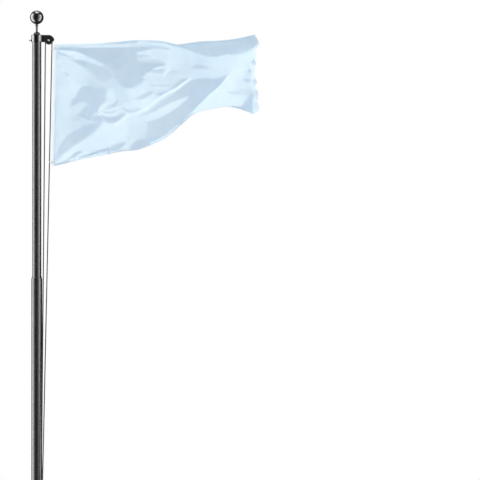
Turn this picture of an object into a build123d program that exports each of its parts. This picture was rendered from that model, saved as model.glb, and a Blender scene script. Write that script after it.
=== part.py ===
from build123d import *
import math
import os

# Sectional aluminium flagpole with an external halyard, seen from ground level up.
# Millimetres, +Z up. The origin is the centre of the pole's foot at the ground.
# +X points the way the pulley bracket and the flag point.

# Corners and edges this near to a place count as being there
same_place = 0.01

# Pole: swaged tube sections, the narrowest on top
section_count = 5
top_diameter = 50.8
diameter_step = 10.2
tube_wall = 2.0
section_length = 1340.0
foot_length = 736.0
shoulder_height = 17.0
spigot_length = 100.0
spigot_clearance = 0.3
rim_chamfer = 0.7

# Ground sleeve: the rim of the buried socket that the foot stands in
ground_sleeve_height = 25.0
ground_sleeve_wall = 4.0
ground_sleeve_clearance = 0.4
ground_sleeve_edge = 1.2

# Truck: one casting with a socket for the tube, a bell and a pulley bracket
truck_wall = 4.0
truck_clearance = 0.3
truck_height = 38.2
truck_socket_depth = 33.0
truck_edge = 1.2
truck_root_fillet = 2.0
bell_height = 16.1
bell_base_radius = 25.0
bell_waist_radius = 17.4
bell_waist_height = 8.1
bell_top_radius = 14.2
bell_edge = 0.8

# Pulley bracket: two cheeks under a rounded hood, open below
sheave_reach = 66.8
sheave_height = 7.7
cheek_wall = 4.0
hood_radius = 31.4
hood_wall = 4.0
hood_web = 9.0
nose_height = 12.4
chin_setback = 9.2
pin_diameter = 6.0
pin_clearance = 0.1
pin_head_diameter = 9.5
pin_head_height = 1.6
pin_head_rim = 0.5
pin_head_crown_radius = 2.2

# Sheave
sheave_diameter = 43.8
sheave_width = 14.0
sheave_side_gap = 1.0
rope_diameter = 6.0
rope_seat_diameter = 37.0
groove_clearance = 0.5
groove_flare = 1.4
sheave_hub_diameter = 15.0
sheave_web_recess = 2.5
sheave_rim_wall = 2.2
sheave_edge = 0.5

# Set screw that clamps the truck to the tube
screw_diameter = 4.2
screw_clearance = 0.15
screw_height = 9.2
screw_stand_out = 6.1
screw_head_diameter = 10.5
screw_head_rim = 1.6
screw_head_crown = 2.2
screw_neck_diameter = 7.2
screw_neck_length = 1.8
screw_tip_gap = 0.1
boss_diameter = 13.8
boss_height = 3.7
boss_edge = 0.8

# Finial: a hollow two-piece ball on a threaded spindle
spindle_diameter = 12.7
spindle_clearance = 0.1
spindle_grip = 14.0
spindle_seen = 32.6
spindle_groove_height = 4.7
spindle_groove_width = 0.9
spindle_groove_depth = 0.5
collar_diameter = 17.5
collar_seat = 9.0
collar_edge = 0.8
collar_top_round = 3.5
collar_neck_diameter = 10.0
collar_flange_diameter = 16.0
collar_flange_height = 1.6
ball_diameter = 76.2
ball_wall = 1.2
ball_drop = 49.9
ball_clearance = 0.1
ball_seam_rise = 2.0
ball_lip = 4.0
ball_seam_chamfer = 0.35

# Cleat for the halyard, on the front of the section below shoulder height
cleat_height = 1350.0
cleat_stand_off = 40.0
cleat_length = 180.0
cleat_bar_diameter = 16.0
cleat_tip_diameter = 10.0
cleat_tip_sweep = 7.0
cleat_neck_width = 12.0
cleat_neck_length = 46.0
cleat_foot_width = 24.0
cleat_foot_length = 84.0
cleat_foot_thickness = 6.0
cleat_foot_corner = 11.0
cleat_foot_embrace = 3.0
cleat_edge = 1.5
cleat_seat_gap = 0.1
cleat_screw_diameter = 5.0
cleat_screw_head_diameter = 9.0
cleat_screw_head_height = 2.6
cleat_screw_head_rim = 0.9
cleat_screw_spacing = 62.0
cleat_screw_tail = 6.0

# Halyard: one endless rope over the sheave and round the neck of the cleat
halyard_neck_gap = 3.0
halyard_cross = 5.5
halyard_join = 0.5

# Flag clips: oval links with a gate sleeve
clip_wire_diameter = 3.4
clip_bend_radius = 5.2
clip_length = 23.0
clip_gate_diameter = 5.4
clip_gate_length = 8.0
upper_clip_drop = 36.0
lower_clip_drop = 669.5

# Flag: heading with two grommets, and the cloth
heading_width = 18.0
heading_thickness = 3.0
heading_overhang = 23.0
grommet_hole_diameter = 8.0
grommet_barrel_wall = 1.0
grommet_flange_diameter = 15.0
grommet_flange_height = 0.8
grommet_clearance = 0.1
cloth_thickness = 2.0
cloth_seam_gap = 0.3

# Outline of the cloth: (distance from the pole's axis, drop below the truck's lower rim).
# It was drawn for these drops of the clips and moves along with them.
drawn_upper_clip_drop = 36.0
drawn_lower_clip_drop = 669.5
cloth_top_edge = [
    (90, 14), (200, 13), (300, 13), (400, 9), (500, -2), (590, -10), (650, -10), (700, -6),
    (745, 4), (785, 12), (830, 6), (900, -3), (1000, -9), (1100, -19), (1214, -41),
]
cloth_fly_edge = [
    (1214, -41), (1233, 8), (1221, 42), (1217, 100), (1219, 165), (1219, 225), (1233, 290), (1234, 350), (1203, 401),
]
cloth_foot_edge = [
    (1203, 401), (1140, 378), (1083, 365), (1010, 367), (950, 379), (865, 405), (800, 463), (737, 518),
    (630, 575), (560, 600), (470, 609), (401, 624), (310, 641), (221, 660), (70, 700),
]

# Swells and hollows of the cloth: (distance from the axis, drop, nearness to the front,
# half length, half width, turn of the long axis towards the ground in degrees)
cloth_swells = [
    (410, 35, 30, 170, 50, 0),
    (530, 245, -30, 125, 75, 0),
    (350, 400, -25, 200, 52, 107),
    (215, 300, 21, 180, 60, 95),
    (790, 190, 19, 110, 65, 25),
    (1060, 80, -30, 200, 60, 0),
    (965, 305, -26, 130, 45, 135),
    (1145, 335, 22, 120, 75, 90),
    (570, 495, 16, 150, 70, -35),
]
cloth_swell_start = 150.0
cloth_net_step = 50.0
cloth_net_margin = 90.0

# Derived places
pole_top = foot_length + (section_count - 1) * section_length
truck_base = pole_top - truck_socket_depth
truck_top = truck_base + truck_height
bell_top = truck_top + bell_height
socket_radius = top_diameter / 2 + truck_clearance
truck_radius = socket_radius + truck_wall
sheave_level = truck_base + sheave_height
pocket_width = sheave_width + 2 * sheave_side_gap
bracket_width = pocket_width + 2 * cheek_wall
hood_level = truck_height - hood_radius
rope_radius = rope_diameter / 2
seat_radius = rope_seat_diameter / 2
collar_bottom = bell_top + spindle_seen
ball_centre = collar_bottom + ball_drop
ball_radius = ball_diameter / 2


def turned(profile):
    """A solid turned about Z from a face drawn with x as the radius and y as the height."""
    return revolve(Plane.XZ * profile, Axis.Z)


def closed_face(*edges):
    return make_face(Curve() + list(edges))


def round_bar(start, end, diameter):
    """A plain cylinder from one point to another."""
    axis = Vector(*end) - Vector(*start)
    end_plane = Plane(origin=start, z_dir=axis)
    return extrude(end_plane * Circle(diameter / 2), axis.length)


def crown(edge_radius, base, height):
    """Arc of a domed head, from its rim in to the axis."""
    radius = (edge_radius**2 + height**2) / (2 * height)
    half_angle = math.asin(edge_radius / radius) / 2
    middle = (radius * math.sin(half_angle), base + height - radius * (1 - math.cos(half_angle)))
    return ThreePointArc((edge_radius, base), middle, (0, base + height))


def section_radius(index):
    """Outer radius of a tube section, counted from 0 at the top."""
    return (top_diameter + index * diameter_step) / 2


def section_foot(index):
    """Height of the lower rim of a tube section, counted from 0 at the top."""
    return max(0.0, foot_length + (section_count - 2 - index) * section_length)


def pole_section(index):
    """A tube whose upper end is swaged to a shoulder and a spigot for the next tube."""
    outer = section_radius(index)
    inner = outer - tube_wall
    foot = section_foot(index)
    chamfer = 0.0 if foot == 0.0 else rim_chamfer
    start = [(inner, foot), (outer - chamfer, foot), (outer, foot + chamfer)]
    if chamfer == 0.0:
        start = [(inner, foot), (outer, foot)]
    if index == 0:
        return turned(make_face(Polyline(*start, (outer, pole_top), (inner, pole_top), close=True)))
    rim = section_foot(index - 1)
    seat = section_radius(index - 1)
    spigot = seat - tube_wall - spigot_clearance
    bore = spigot - tube_wall
    shoulder = rim - shoulder_height
    lower_line = Polyline((inner, shoulder), *start, (outer, shoulder))
    swage = TangentArc((outer, shoulder), (seat, rim), tangent=(0, 1))
    upper_line = Polyline(
        (seat, rim),
        (spigot, rim),
        (spigot, rim + spigot_length),
        (bore, rim + spigot_length),
        (bore, rim),
        (inner, shoulder),
    )
    return turned(closed_face(lower_line, swage, upper_line))


def ground_sleeve():
    inner = section_radius(section_count - 1) + ground_sleeve_clearance
    ring = Rectangle(ground_sleeve_wall, ground_sleeve_height, align=(Align.MIN, Align.MIN))
    ring = Pos(inner, 0) * ring
    upper_corners = ring.vertices().group_by(Axis.Y)[-1]
    return turned(chamfer(upper_corners, ground_sleeve_edge))


def truck_body():
    """Socket, bell and bracket as one casting, drawn with its foot at zero and raised at the end."""
    plan = Circle(truck_radius)
    reach = sheave_reach + hood_radius
    plan += Rectangle(reach, bracket_width, align=(Align.MIN, Align.CENTER))
    roots = [v for v in plan.vertices() if 0 < v.X < truck_radius and abs(v.Y) > bracket_width / 4]
    plan = fillet(roots, truck_root_fillet)
    nose_rise = nose_height - hood_level
    nose_x = sheave_reach + math.sqrt(hood_radius**2 - nose_rise**2)
    nose_angle = math.asin(nose_rise / hood_radius)
    middle_angle = (nose_angle + math.pi / 2) / 2
    middle = (
        sheave_reach + hood_radius * math.cos(middle_angle),
        hood_level + hood_radius * math.sin(middle_angle),
    )
    side = closed_face(
        Polyline(
            (sheave_reach, truck_height),
            (-2 * truck_radius, truck_height),
            (-2 * truck_radius, 0),
            (nose_x - chin_setback, 0),
            (nose_x, nose_height),
        ),
        ThreePointArc((nose_x, nose_height), middle, (sheave_reach, truck_height)),
    )
    casting = extrude(plan, truck_height)
    casting &= extrude(Plane.XZ * side, 2 * truck_radius, both=True)
    half = bracket_width / 2
    flanks = [e for e in casting.edges() if abs(abs(e.center().Y) - half) < same_place and e.center().X > truck_radius]
    flanks = [e for e in flanks if e.center().Z > same_place]
    top_rim = [
        e
        for e in casting.faces().sort_by(Axis.Z)[-1].edges()
        if e.center().X < sheave_reach - same_place and e not in flanks
    ]
    casting = fillet(flanks + top_rim, truck_edge)

    bell = closed_face(
        Polyline((0, 0), (bell_base_radius, 0)),
        ThreePointArc(
            (bell_base_radius, 0),
            (bell_waist_radius, bell_waist_height),
            (bell_top_radius, bell_height - bell_edge),
        ),
        Polyline(
            (bell_top_radius, bell_height - bell_edge),
            (bell_top_radius - bell_edge, bell_height),
            (0, bell_height),
            (0, 0),
        ),
    )
    casting += Pos(0, 0, truck_height) * turned(bell)

    boss_face = truck_radius + boss_height
    boss = round_bar((-socket_radius, 0, screw_height), (-boss_face, 0, screw_height), boss_diameter)
    boss = chamfer(boss.faces().sort_by(Axis.X)[0].edges(), boss_edge)
    casting += boss

    socket = round_bar((0, 0, 0), (0, 0, truck_socket_depth), 2 * socket_radius)
    spindle_hole = round_bar(
        (0, 0, truck_height + bell_height - spindle_grip),
        (0, 0, truck_height + bell_height),
        spindle_diameter + 2 * spindle_clearance,
    )
    screw_hole = round_bar(
        (0, 0, screw_height), (-2 * boss_face, 0, screw_height), screw_diameter + 2 * screw_clearance
    )
    pin_hole = round_bar(
        (sheave_reach, -bracket_width, sheave_height),
        (sheave_reach, bracket_width, sheave_height),
        pin_diameter + 2 * pin_clearance,
    )
    casting -= [socket, spindle_hole, screw_hole, pin_hole, rope_pocket()]
    return Pos(0, 0, truck_base) * casting


def rope_pocket():
    """The space between the cheeks, open below and under the chin."""
    inner = hood_radius - hood_wall
    back = truck_radius + hood_web
    outline = closed_face(
        Polyline(
            (sheave_reach, hood_level + inner),
            (back, hood_level + inner),
            (back, -truck_height),
            (sheave_reach + inner, -truck_height),
            (sheave_reach + inner, hood_level),
        ),
        ThreePointArc(
            (sheave_reach + inner, hood_level),
            (sheave_reach + inner * math.sqrt(0.5), hood_level + inner * math.sqrt(0.5)),
            (sheave_reach, hood_level + inner),
        ),
    )
    return extrude(Plane.XZ * outline, pocket_width / 2, both=True)


def across_the_bracket(solid):
    """Turn a solid made about Z onto the sheave's axis, which runs along Y."""
    return Pos(sheave_reach, 0, sheave_level) * Rot(X=90) * solid


def sheave():
    half = sheave_width / 2
    rim = sheave_diameter / 2
    groove = rope_radius + groove_clearance
    groove_floor = seat_radius - groove
    web = half - sheave_web_recess
    web_edge = groove_floor - sheave_rim_wall
    bore = pin_diameter / 2 + pin_clearance
    hub = sheave_hub_diameter / 2
    lip = groove + groove_flare
    side = [(bore, 0), (bore, half), (hub, half), (hub, web), (web_edge, web), (web_edge, half)]
    side += [(rim - sheave_edge, half), (rim, half - sheave_edge), (rim, lip), (seat_radius, groove)]
    side_edges = Polyline(*side)
    profile = closed_face(
        side_edges,
        ThreePointArc((seat_radius, groove), (groove_floor, 0), (seat_radius, -groove)),
        mirror(side_edges, Plane.XZ),
    )
    return across_the_bracket(turned(profile))


def sheave_pin():
    """A riveted axle with a crowned head on each cheek."""
    half = bracket_width / 2
    head = pin_head_diameter / 2
    top = half + pin_head_height
    quarter = Polyline(
        (0, 0),
        (pin_diameter / 2, 0),
        (pin_diameter / 2, half),
        (head, half),
        (head, half + pin_head_rim),
        (pin_head_crown_radius, top),
        (0, top),
        close=True,
    )
    upper = turned(make_face(quarter))
    return across_the_bracket(upper + mirror(upper, Plane.XY))


def set_screw():
    """Thumb screw with a crowned head, pointing at the tube through the boss."""
    radius = screw_diameter / 2
    tip = top_diameter / 2 + screw_tip_gap
    face = truck_radius + boss_height + screw_stand_out
    neck = screw_neck_diameter / 2
    head = screw_head_diameter / 2
    rim = face + screw_head_rim
    profile = closed_face(
        Polyline(
            (0, rim + screw_head_crown),
            (0, tip),
            (radius, tip),
            (radius, face - screw_neck_length),
            (neck, face),
            (head, face),
            (head, rim),
        ),
        crown(head, rim, screw_head_crown),
    )
    return Pos(0, 0, truck_base + screw_height) * Rot(Y=-90) * turned(profile)


def spindle():
    radius = spindle_diameter / 2
    bottom = bell_top - spindle_grip
    groove = bell_top + spindle_groove_height
    waist = radius - spindle_groove_depth
    profile = Polyline(
        (0, bottom),
        (radius, bottom),
        (radius, groove),
        (waist, groove + spindle_groove_width / 2),
        (radius, groove + spindle_groove_width),
        (radius, collar_bottom + collar_seat),
        (0, collar_bottom + collar_seat),
        close=True,
    )
    return turned(make_face(profile))


def ball_collar():
    """Turned seat under the ball, with a peened flange inside the shell."""
    wall_inner = ball_radius - ball_wall
    touch = collar_diameter / 2 - collar_top_round
    shell_bottom = ball_centre - math.sqrt(ball_radius**2 - touch**2)
    flange = collar_flange_diameter / 2
    flange_bottom = ball_centre - math.sqrt(wall_inner**2 - flange**2) + ball_clearance
    outside = round_bar((0, 0, collar_bottom), (0, 0, shell_bottom), collar_diameter)
    outside = chamfer(outside.faces().sort_by(Axis.Z)[0].edges(), collar_edge)
    outside = fillet(outside.faces().sort_by(Axis.Z)[-1].edges(), collar_top_round)
    outside -= Pos(0, 0, ball_centre) * Sphere(ball_radius + ball_clearance)
    neck_bar = round_bar((0, 0, collar_bottom + collar_edge), (0, 0, flange_bottom), collar_neck_diameter)
    flange_bar = round_bar(
        (0, 0, flange_bottom), (0, 0, flange_bottom + collar_flange_height), collar_flange_diameter
    )
    bore = round_bar(
        (0, 0, collar_bottom),
        (0, 0, collar_bottom + collar_seat),
        spindle_diameter + 2 * spindle_clearance,
    )
    return outside + neck_bar + flange_bar - bore


def ball_halves():
    """Two spun shells that meet at a seam, the lower one with a lip inside the upper one."""
    inner = ball_radius - ball_wall
    lip_outer = inner - ball_clearance
    lip_inner = lip_outer - ball_wall
    span = 2 * ball_radius
    skin = Circle(ball_radius) - Circle(inner)
    right_side = Pos(0, -span) * Rectangle(span, 2 * span, align=(Align.MIN, Align.MIN))
    above = Pos(0, ball_seam_rise) * Rectangle(span, span, align=(Align.MIN, Align.MIN))
    upper = skin & above
    lower = (skin & right_side) - above
    seam_radius = math.sqrt(ball_radius**2 - ball_seam_rise**2)

    def seam_corner(shape):
        corner = Vector(seam_radius, ball_seam_rise)
        return [v for v in shape.vertices() if (Vector(v) - corner).length < same_place]

    upper = chamfer(seam_corner(upper), ball_seam_chamfer)
    lower = chamfer(seam_corner(lower), ball_seam_chamfer)
    root_band = Pos(0, ball_seam_rise - ball_lip) * Rectangle(span, ball_lip, align=(Align.MIN, Align.MIN))
    lip_band = Pos(0, ball_seam_rise - ball_lip) * Rectangle(span, 2 * ball_lip, align=(Align.MIN, Align.MIN))
    lower += (Circle(inner) - Circle(lip_inner)) & root_band
    lower += (Circle(lip_outer) - Circle(lip_inner)) & lip_band
    place = Pos(0, 0, ball_centre)
    neck_hole = round_bar((0, 0, -ball_radius), (0, 0, 0), collar_neck_diameter + 2 * ball_clearance)
    return place * turned(upper), place * (turned(lower) - neck_hole)


def cleat_section():
    """Index of the tube section that carries the cleat."""
    for index in range(section_count):
        if section_foot(index) < cleat_height:
            return index
    return section_count - 1


tube_face = section_radius(cleat_section())
bar_distance = tube_face + cleat_stand_off
neck_end = cleat_neck_length / 2 - cleat_neck_width / 2


def on_cleat(solid):
    """Stand a solid made upwards from the tube's front on the front of the tube."""
    return Pos(0, 0, cleat_height) * Rot(X=90) * solid


def cleat():
    """Horned cleat, drawn with +Z away from the tube and +Y up the tube."""
    foot = Pos(0, 0, tube_face - cleat_foot_embrace) * extrude(
        RectangleRounded(cleat_foot_width, cleat_foot_length, cleat_foot_corner),
        cleat_foot_thickness + cleat_foot_embrace,
    )
    foot = fillet(foot.faces().sort_by(Axis.Z)[-1].edges(), cleat_edge)
    neck = extrude(
        Pos(0, 0, tube_face) * SlotOverall(cleat_neck_length, cleat_neck_width, rotation=90),
        cleat_stand_off,
    )
    half = cleat_length / 2
    bar_path = Plane.YZ * ThreePointArc(
        (-half, bar_distance + cleat_tip_sweep), (0, bar_distance), (half, bar_distance + cleat_tip_sweep)
    )
    stations = [(0.0, cleat_tip_diameter), (0.5, cleat_bar_diameter), (1.0, cleat_tip_diameter)]
    rings = [Plane(bar_path.location_at(t)) * Circle(d / 2) for t, d in stations]
    bar = loft(rings)
    for t in (0.0, 1.0):
        bar += Pos(bar_path.position_at(t)) * Sphere(cleat_tip_diameter / 2)
    body = foot + neck + bar
    tube = round_bar((0, -cleat_foot_length, 0), (0, cleat_foot_length, 0), 2 * (tube_face + cleat_seat_gap))
    body -= tube
    return on_cleat(body - cleat_screw_holes())


def cleat_screw_holes():
    """Holes for both screws of the cleat, from the tube's axis outwards, as the cleat is drawn."""
    hole = cleat_screw_diameter + 2 * screw_clearance
    spots = [side * cleat_screw_spacing / 2 for side in (-1, 1)]
    return [round_bar((0, spot, 0), (0, spot, bar_distance), hole) for spot in spots]


def cleat_screw(side):
    """Pan-head screw through the foot of the cleat and the wall of the tube."""
    radius = cleat_screw_diameter / 2
    head = cleat_screw_head_diameter / 2
    seat = tube_face + cleat_foot_thickness
    profile = closed_face(
        Polyline(
            (0, seat + cleat_screw_head_height),
            (0, tube_face - cleat_screw_tail),
            (radius, tube_face - cleat_screw_tail),
            (radius, seat),
            (head, seat),
            (head, seat + cleat_screw_head_rim),
        ),
        crown(head, seat + cleat_screw_head_rim, cleat_screw_head_height - cleat_screw_head_rim),
    )
    return on_cleat(Pos(0, side * cleat_screw_spacing / 2, 0) * turned(profile))


# Halyard route: the corners of its loop. The two falls cross once on the way down
halyard_top = sheave_level + seat_radius
neck_centre = cleat_height - neck_end
turn_radius = cleat_neck_width / 2 + halyard_neck_gap + rope_radius
turn_level = neck_centre - turn_radius
turn_distance = tube_face + cleat_stand_off / 2
turn_half_x = math.sqrt(turn_radius**2 - halyard_cross**2)
outer_lean = (sheave_reach + seat_radius + turn_half_x) / (halyard_top - turn_level)
inner_top = Vector(sheave_reach - seat_radius, 0, halyard_top)
outer_top = Vector(sheave_reach + seat_radius * (1 + outer_lean), 0, halyard_top)
outer_low = Vector(-turn_half_x, -turn_distance - halyard_cross, turn_level)
inner_low = Vector(turn_half_x, -turn_distance + halyard_cross, turn_level)


def halyard():
    corners = [inner_top, outer_top, outer_low, inner_low]
    over = seat_radius - halyard_join
    under = turn_radius - halyard_join
    path = FilletPolyline(*corners, radius=[over, over, under, under], close=True)
    rope = Part()
    for run in path.edges():
        rope += sweep(Plane(origin=run @ 0, z_dir=run % 0) * Circle(rope_radius), path=run)
    print("halyard length", round(path.length, 1), "volume", round(rope.volume))
    print("section times length", round(path.length * math.pi * rope_radius**2))
    return rope


def outer_fall(drop):
    """Where the centre of the flag's fall is, at a distance below the truck's lower rim."""
    share = (halyard_top - truck_base + drop) / (halyard_top - turn_level)
    return outer_top + (outer_low - outer_top) * share


upper_hold = outer_fall(upper_clip_drop)
lower_hold = outer_fall(lower_clip_drop)


def clip(hold):
    """An oval link round the rope and through the grommet, with a gate sleeve on the front."""
    straight = clip_length - 2 * clip_bend_radius
    oval = SlotOverall(clip_length, 2 * clip_bend_radius).wire()
    left = -clip_length / 2
    link = sweep(Plane(origin=(left, 0, 0), z_dir=(0, 1, 0)) * Circle(clip_wire_diameter / 2), path=oval)
    gate_y = -clip_bend_radius
    gate = round_bar((-clip_gate_length / 2, gate_y, 0), (clip_gate_length / 2, gate_y, 0), clip_gate_diameter)
    return Pos(hold.X + straight / 2, hold.Y, hold.Z) * (link + gate)


def grommet_centre(hold):
    return hold + Vector(clip_length - clip_bend_radius, 0, 0)


def hoist_frame():
    """The middle of the heading's lower end, with Z up the hoist and X into the cloth, and its length."""
    upper = grommet_centre(upper_hold)
    lower = grommet_centre(lower_hold)
    up = (upper - lower).normalized()
    plane = Plane(origin=lower - up * heading_overhang, x_dir=(1, 0, 0), z_dir=up)
    return plane, (upper - lower).length + 2 * heading_overhang


def across_the_heading(hold):
    """The heading's middle plane at one grommet."""
    return Plane(origin=grommet_centre(hold), x_dir=(1, 0, 0), z_dir=hoist_frame()[0].y_dir)


def grommet(hold):
    """A barrel through the heading with a rolled flange on each side."""
    hole = grommet_hole_diameter / 2
    barrel = hole + grommet_barrel_wall
    flange = grommet_flange_diameter / 2
    half = heading_thickness / 2
    top = half + grommet_flange_height
    side = Polyline(
        (hole, 0),
        (hole, top),
        (flange - grommet_flange_height / 2, top),
        (flange, half),
        (barrel, half),
        (barrel, 0),
    )
    profile = closed_face(side, mirror(side, Plane.XZ))
    return across_the_heading(hold) * turned(profile)


def heading():
    plane, length = hoist_frame()
    band = extrude(plane * Rectangle(heading_width, heading_thickness), length)
    hole = grommet_hole_diameter / 2 + grommet_barrel_wall + grommet_clearance
    for hold in (upper_hold, lower_hold):
        band -= extrude(across_the_heading(hold) * Circle(hole), heading_thickness, both=True)
    return band


def swell_nearness(x, drop):
    """How far the swells bring the cloth to the front at one place."""
    nearness = 0.0
    for centre_x, centre_drop, height, half_length, half_width, turn in cloth_swells:
        angle = math.radians(turn)
        along = (x - centre_x) * math.cos(angle) + (drop - centre_drop) * math.sin(angle)
        across = (drop - centre_drop) * math.cos(angle) - (x - centre_x) * math.sin(angle)
        nearness += height * math.exp(-((along / half_length) ** 2) - (across / half_width) ** 2)
    return nearness


def outline_edge(points):
    """One edge of the cloth seen from the front, moved along with the clips."""
    stretch = (lower_clip_drop - upper_clip_drop) / (drawn_lower_clip_drop - drawn_upper_clip_drop)
    top = truck_base - upper_clip_drop
    return Spline(*[(x, top - (drop - drawn_upper_clip_drop) * stretch) for x, drop in points])


def cloth():
    """The flown cloth: a swelling sheet that starts at the heading, cut to its outline."""
    plane, length = hoist_frame()
    start = plane.origin + Vector(heading_width / 2 + cloth_seam_gap, -cloth_thickness / 2, 0)
    reach = max(x for x, drop in cloth_fly_edge) + cloth_net_margin - start.X
    columns = round(reach / cloth_net_step)
    rows = round((length + 2 * cloth_net_margin) / cloth_net_step)
    net = []
    for row in range(rows + 1):
        foot = start + plane.z_dir * (row * cloth_net_step - cloth_net_margin)
        line = []
        for column in range(columns + 1):
            away = column * cloth_net_step
            share = min(away / cloth_swell_start, 1.0)
            grown = share**2 * (3 - 2 * share)
            line.append(foot + Vector(away, -grown * swell_nearness(foot.X + away, truck_base - foot.Z), 0))
        net.append(line)
    front = Face.make_surface_from_array_of_points(net, smoothing=(1, 1, 1), min_deg=3, max_deg=8)
    sheet = Solid.extrude(front, Vector(0, cloth_thickness, 0))
    top, fly, bottom = [outline_edge(points) for points in (cloth_top_edge, cloth_fly_edge, cloth_foot_edge)]
    outline = closed_face(top, fly, bottom, Line(bottom @ 1, top @ 0))
    return sheet & extrude(Plane.XZ * outline, length, both=True)


# Build every piece and write one file each
pieces = {}
for number in range(section_count):
    pieces[f"pole_section_{number + 1}"] = pole_section(number)
cleat_tube = f"pole_section_{cleat_section() + 1}"
pieces[cleat_tube] -= [on_cleat(hole) for hole in cleat_screw_holes()]
pieces["ground_sleeve"] = ground_sleeve()
pieces["truck_body"] = truck_body()
pieces["sheave"] = sheave()
pieces["sheave_pin"] = sheave_pin()
pieces["set_screw"] = set_screw()
pieces["spindle"] = spindle()
pieces["ball_collar"] = ball_collar()
pieces["ball_upper_half"], pieces["ball_lower_half"] = ball_halves()
pieces["cleat"] = cleat()
pieces["cleat_screw_upper"] = cleat_screw(1)
pieces["cleat_screw_lower"] = cleat_screw(-1)
pieces["halyard"] = halyard()
pieces["upper_clip"] = clip(upper_hold)
pieces["lower_clip"] = clip(lower_hold)
pieces["upper_grommet"] = grommet(upper_hold)
pieces["lower_grommet"] = grommet(lower_hold)
pieces["flag_heading"] = heading()
pieces["flag_cloth"] = cloth()

os.makedirs("parts", exist_ok=True)
for name, piece in pieces.items():
    export_step(piece, f"parts/{name}.step")
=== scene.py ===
import math

import bpy
import numpy as np
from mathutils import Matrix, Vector


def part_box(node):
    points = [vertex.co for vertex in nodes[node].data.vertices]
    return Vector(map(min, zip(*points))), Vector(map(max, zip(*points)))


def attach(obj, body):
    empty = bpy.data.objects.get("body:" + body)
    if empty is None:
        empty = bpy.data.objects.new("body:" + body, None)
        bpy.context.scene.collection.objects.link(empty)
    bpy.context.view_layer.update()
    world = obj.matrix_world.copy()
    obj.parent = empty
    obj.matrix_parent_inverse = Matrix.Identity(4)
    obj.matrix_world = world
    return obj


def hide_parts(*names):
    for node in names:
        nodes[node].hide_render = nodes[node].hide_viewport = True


# A black sectional flagpole with its truck, halyard and pale blue flag, dressed and lit as in the photograph

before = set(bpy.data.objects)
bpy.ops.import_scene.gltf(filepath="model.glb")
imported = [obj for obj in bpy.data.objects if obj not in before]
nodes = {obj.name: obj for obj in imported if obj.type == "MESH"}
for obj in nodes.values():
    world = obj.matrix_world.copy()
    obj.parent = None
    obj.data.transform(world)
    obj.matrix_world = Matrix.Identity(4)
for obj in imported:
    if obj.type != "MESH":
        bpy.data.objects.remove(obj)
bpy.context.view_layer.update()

# Places on the pole, in metres, read from the frame
tube_low, tube_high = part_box("pole_section_1")
tube_radius = (tube_high.x - tube_low.x) / 2
truck_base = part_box("truck_body")[0].z
sheave_low, sheave_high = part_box("sheave")
sheave_centre = (sheave_low + sheave_high) / 2
heading_low, heading_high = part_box("flag_heading")

# Photograph: the camera looks level along +Y. The picture's width and its centre (x, z) are in metres,
# the lens and its sensor in millimetres
PICTURE_WIDTH = 2.6736
PICTURE_CENTRE = (1.132, 4.960)
LENS = 150.0
SENSOR = 36.0

# The truck's finish changes from sleeve to cheek between these distances outside the tube, in metres
CHEEK_START = 0.0048
CHEEK_FULL = 0.0062

# Turning rings on the head of the sheave's pin, in metres
PIN_RING_PITCH = 0.0004

# Cloth as it was cut, with its hems and its sewn heading, in metres
CLOTH_LENGTH = 1.25
CLOTH_WIDTH = 0.68
THREAD_PITCH = 0.0012
HEM_WIDTH = 0.013
HEM_HALF_THICKNESS = 0.0008
STITCH_DEPTH = 0.0112
STITCH_LENGTH = 0.0032
HEADING_WIDTH = 0.018
HEADING_STITCH_DEPTH = 0.0024

# Points of the cloth's mesh along its length and across its width
CLOTH_COLUMNS = 400
CLOTH_ROWS = 248

# Halyard, with its lengths in metres: sides round the rope, rings round each bend, strands round the braid
ROPE_RADIUS = 0.003
ROPE_SIDES = 16
ROPE_RING_STEP = 0.012
ROPE_BEND_RINGS = 14
BRAID_STRANDS = 8.0
BRAID_STEP = 0.0047

# Floor: half its width, and the distances between which it fades into the white background, in metres
FLOOR_HALF = 60.0
FLOOR_FADE = (7.0, 16.0)

# Scale of turned metal's fine marks along each axis: they run along the axes whose scale is small
ROUND_Z = (0.02, 0.02, 1.0)
ALONG_X = (0.02, 1.0, 1.0)
ALONG_Y = (1.0, 0.02, 1.0)
ROLLED_ALONG_Y = (1.0, 0.05, 1.0)


def make_camera():
    data = bpy.data.cameras.new("camera")
    data.lens = LENS
    data.sensor_width = SENSOR
    data.clip_end = 200.0
    camera = bpy.data.objects.new("camera", data)
    distance = PICTURE_WIDTH * LENS / SENSOR
    camera.location = (PICTURE_CENTRE[0], -distance, PICTURE_CENTRE[1])
    camera.rotation_euler = (math.radians(90), 0, 0)
    bpy.context.scene.collection.objects.link(camera)
    bpy.context.scene.camera = camera


# Materials


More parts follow.
